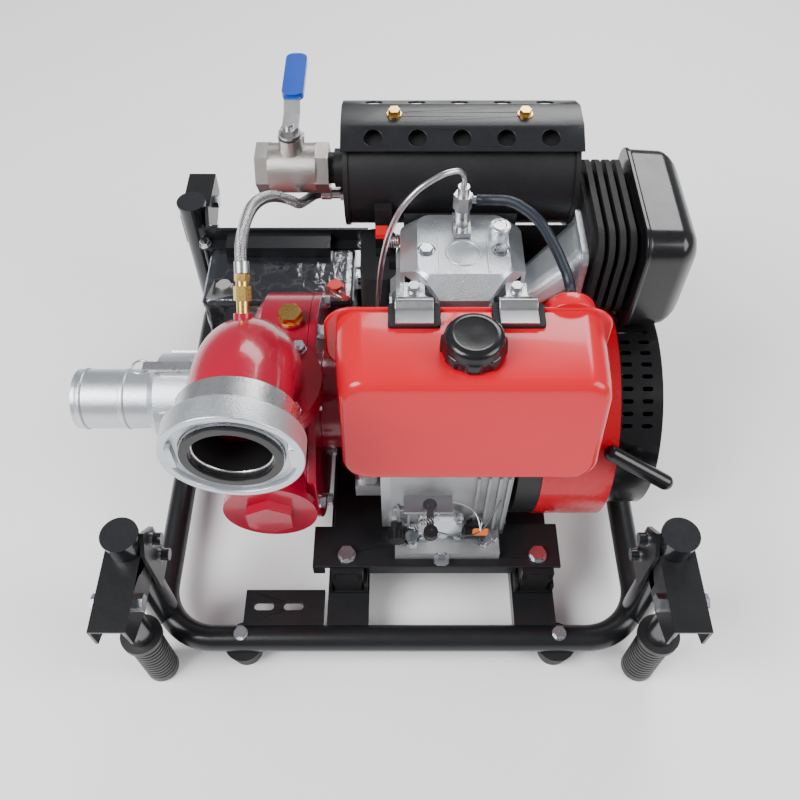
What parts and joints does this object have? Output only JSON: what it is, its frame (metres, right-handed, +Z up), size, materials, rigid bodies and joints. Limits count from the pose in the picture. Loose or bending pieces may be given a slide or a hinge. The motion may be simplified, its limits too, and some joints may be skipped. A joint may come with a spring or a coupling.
{
  "type": "portable fire pump",
  "caption": "Diesel-engined portable fire pump on a tubular carrying frame with folding handles, fuel tank, muffler, discharge elbow and cam-lock suction coupling.",
  "frame": {"origin": "on the floor, under the middle of the whole machine", "axes": "+X from the suction side towards the recoil starter, along the crankshaft; +Y from the fuel tank side to the muffler side; +Z up"},
  "size_m": [0.728, 0.716, 0.5341],
  "materials": {
    "black_frame": "satin black powder coat",
    "rubber_black": "matt",
    "zinc_steel": "zinc plated",
    "steel_dark": "machined",
    "cast_aluminium": "sand cast, bead blasted",
    "cast_iron": "painted grey",
    "red_gloss": "gloss red",
    "pump_red": "gloss crimson",
    "black_exhaust": "heat-resistant matt black",
    "black_plastic": "moulded",
    "battery_plastic": "moulded",
    "stainless": "cast stainless",
    "brass": "machined",
    "hose_dark": "dark blue-grey",
    "hose_braid": "stainless braid",
    "red_plastic": "moulded",
    "paper": "pleated paper"
  },
  "bodies": {
    "machine": {"air_cleaner_bellows": "rubber_black", "air_cleaner_cover": "black_plastic", "air_filter_element": "paper", "ball_valve_body": "stainless", "base_frame_tubes": "black_frame", "battery": "battery_plastic", "battery_tray": "black_frame", "bearings_and_seals": "rubber_black", "camlock_coupler": "cast_aluminium", "connecting_rod": "steel_dark", "corner_posts": "black_frame", "cradle_rails": "black_frame", "crankcase": "cast_aluminium", "crankcase_covers": "cast_aluminium", "cylinder_and_guides": "cast_iron", "cylinder_head": "cast_aluminium", "discharge_elbow": "pump_red", "engine_base_plate": "black_frame", "fan_shroud": "red_gloss", "fasteners": "zinc_steel", "fuel_injection": "steel_dark", "fuel_tank": "red_gloss", "handle_brackets": "black_frame", "heat_shield": "black_exhaust", "injection_pipe": "steel_dark", "intake_horn": "cast_aluminium", "isolators": "black_frame", "muffler": "black_exhaust", "piston": "cast_aluminium", "primer_hose": "hose_braid", "pump_back_cover": "cast_iron", "pump_fittings": "brass", "pump_volute": "pump_red", "recoil_housing": "black_frame", "return_hose": "hose_dark", "rocker_cover": "cast_aluminium", "rubber_feet": "rubber_black", "starter_motor": "black_exhaust", "tank_straps": "steel_dark", "valves": "steel_dark"},
    "handle_front_left": {"carrying_handle_front_left": "black_frame"},
    "handle_front_right": {"carrying_handle_front_right": "black_frame"},
    "handle_rear_left": {"carrying_handle_rear_left": "black_frame"},
    "handle_rear_right": {"carrying_handle_rear_right": "black_frame"},
    "crank_assembly": {"crankshaft": "steel_dark", "flywheel": "cast_iron", "impeller": "brass"},
    "camshaft_body": {"camshaft": "steel_dark"},
    "exhaust_valve_lever": {"valve_lever": "stainless"},
    "fuel_cap_body": {"fuel_cap": "black_plastic"},
    "starter_pulley": {"recoil_pulley": "black_plastic"},
    "starter_handle": {"recoil_handle": "black_plastic"},
    "arm_upper": {"camlock_arm_upper": "cast_aluminium"},
    "arm_lower": {"camlock_arm_lower": "cast_aluminium"},
    "dipstick_body": {"dipstick": "black_plastic"},
    "filler_plug": {"oil_filler_plug": "black_plastic"},
    "speed_lever_body": {"speed_lever": "steel_dark"},
    "decompression_body": {"decompression_lever": "red_plastic"},
    "flap": {"check_flap": "cast_aluminium"},
    "coupling_ring": {"discharge_coupling": "cast_aluminium"}
  },
  "joints": [
    {"name": "handle_front_left_hinge", "type": "hinge", "parent": "machine", "child": "handle_front_left", "pos_m": [-0.264, -0.318, 0.2095], "axis": [-1, 0, 0], "range_deg": [0, 90]},
    {"name": "handle_front_right_hinge", "type": "hinge", "parent": "machine", "child": "handle_front_right", "pos_m": [0.336, -0.318, 0.2095], "axis": [-1, 0, 0], "range_deg": [0, 90]},
    {"name": "handle_rear_left_hinge", "type": "hinge", "parent": "machine", "child": "handle_rear_left", "pos_m": [-0.264, 0.318, 0.2095], "axis": [1, 0, 0], "range_deg": [0, 90]},
    {"name": "handle_rear_right_hinge", "type": "hinge", "parent": "machine", "child": "handle_rear_right", "pos_m": [0.336, 0.318, 0.2095], "axis": [1, 0, 0], "range_deg": [0, 90]},
    {"name": "crank_spin", "type": "hinge", "parent": "machine", "child": "crank_assembly", "pos_m": [-0.084, -0.05, 0.21], "axis": [1, 0, 0], "continuous": true},
    {"name": "cam_spin", "type": "hinge", "parent": "machine", "child": "camshaft_body", "pos_m": [0.086, -0.125, 0.21], "axis": [1, 0, 0], "continuous": true},
    {"name": "exhaust_valve_turn", "type": "hinge", "parent": "machine", "child": "exhaust_valve_lever", "pos_m": [-0.082, 0.09, 0.499], "axis": [0, 0, 1], "range_deg": [0, 90]},
    {"name": "fuel_cap_turn", "type": "hinge", "parent": "machine", "child": "fuel_cap_body", "pos_m": [0.106, -0.158, 0.45], "axis": [0, 0, 1], "range_deg": [0, 90]},
    {"name": "starter_pull", "type": "slide", "parent": "machine", "child": "starter_handle", "axis": [0, -0.9135, 0.4067], "range_m": [0, 0.7], "stiffness_N_per_m": 20, "springref_m": -0.1},
    {"name": "starter_pulley_turn", "type": "hinge", "parent": "machine", "child": "starter_pulley", "pos_m": [0.292, -0.05, 0.21], "axis": [1, 0, 0], "range_deg": [0, 950]},
    {"name": "camlock_upper_swing", "type": "hinge", "parent": "machine", "child": "arm_upper", "pos_m": [-0.2052, -0.05, 0.271], "axis": [0, 1, 0], "range_deg": [0, 95]},
    {"name": "camlock_lower_swing", "type": "hinge", "parent": "machine", "child": "arm_lower", "pos_m": [-0.2052, -0.05, 0.149], "axis": [0, -1, 0], "range_deg": [-30, 65]},
    {"name": "dipstick_pull", "type": "slide", "parent": "machine", "child": "dipstick_body", "axis": [0, -1, 0], "range_m": [0, 0.09]},
    {"name": "filler_plug_turn", "type": "hinge", "parent": "machine", "child": "filler_plug", "pos_m": [0.125, -0.206, 0.158], "axis": [0, 1, 0], "range_deg": [0, 720]},
    {"name": "speed_lever_swing", "type": "hinge", "parent": "machine", "child": "speed_lever_body", "pos_m": [0.07, -0.206, 0.215], "axis": [0, 0, 1], "range_deg": [0, 45]},
    {"name": "decompression_turn", "type": "hinge", "parent": "machine", "child": "decompression_body", "pos_m": [0.026, 0.002, 0.428], "axis": [1, 0, 0], "range_deg": [0, 60], "stiffness_Nm_per_rad": 0.05, "springref_deg": -28.65},
    {"name": "check_flap_lift", "type": "hinge", "parent": "machine", "child": "flap", "pos_m": [-0.11, -0.1175, 0.359], "axis": [-1, 0, 0], "range_deg": [0, 50]},
    {"name": "coupling_ring_turn", "type": "hinge", "parent": "machine", "child": "coupling_ring", "pos_m": [-0.11, -0.27, 0.442], "axis": [0, -1, 0], "continuous": true}
  ],
  "couplings": [
    {"joint": "cam_spin", "follows": "crank_spin", "ratio": -0.5},
    {"joint": "starter_pulley_turn", "follows": "starter_pull", "rad_per_m": 23.53}
  ]
}
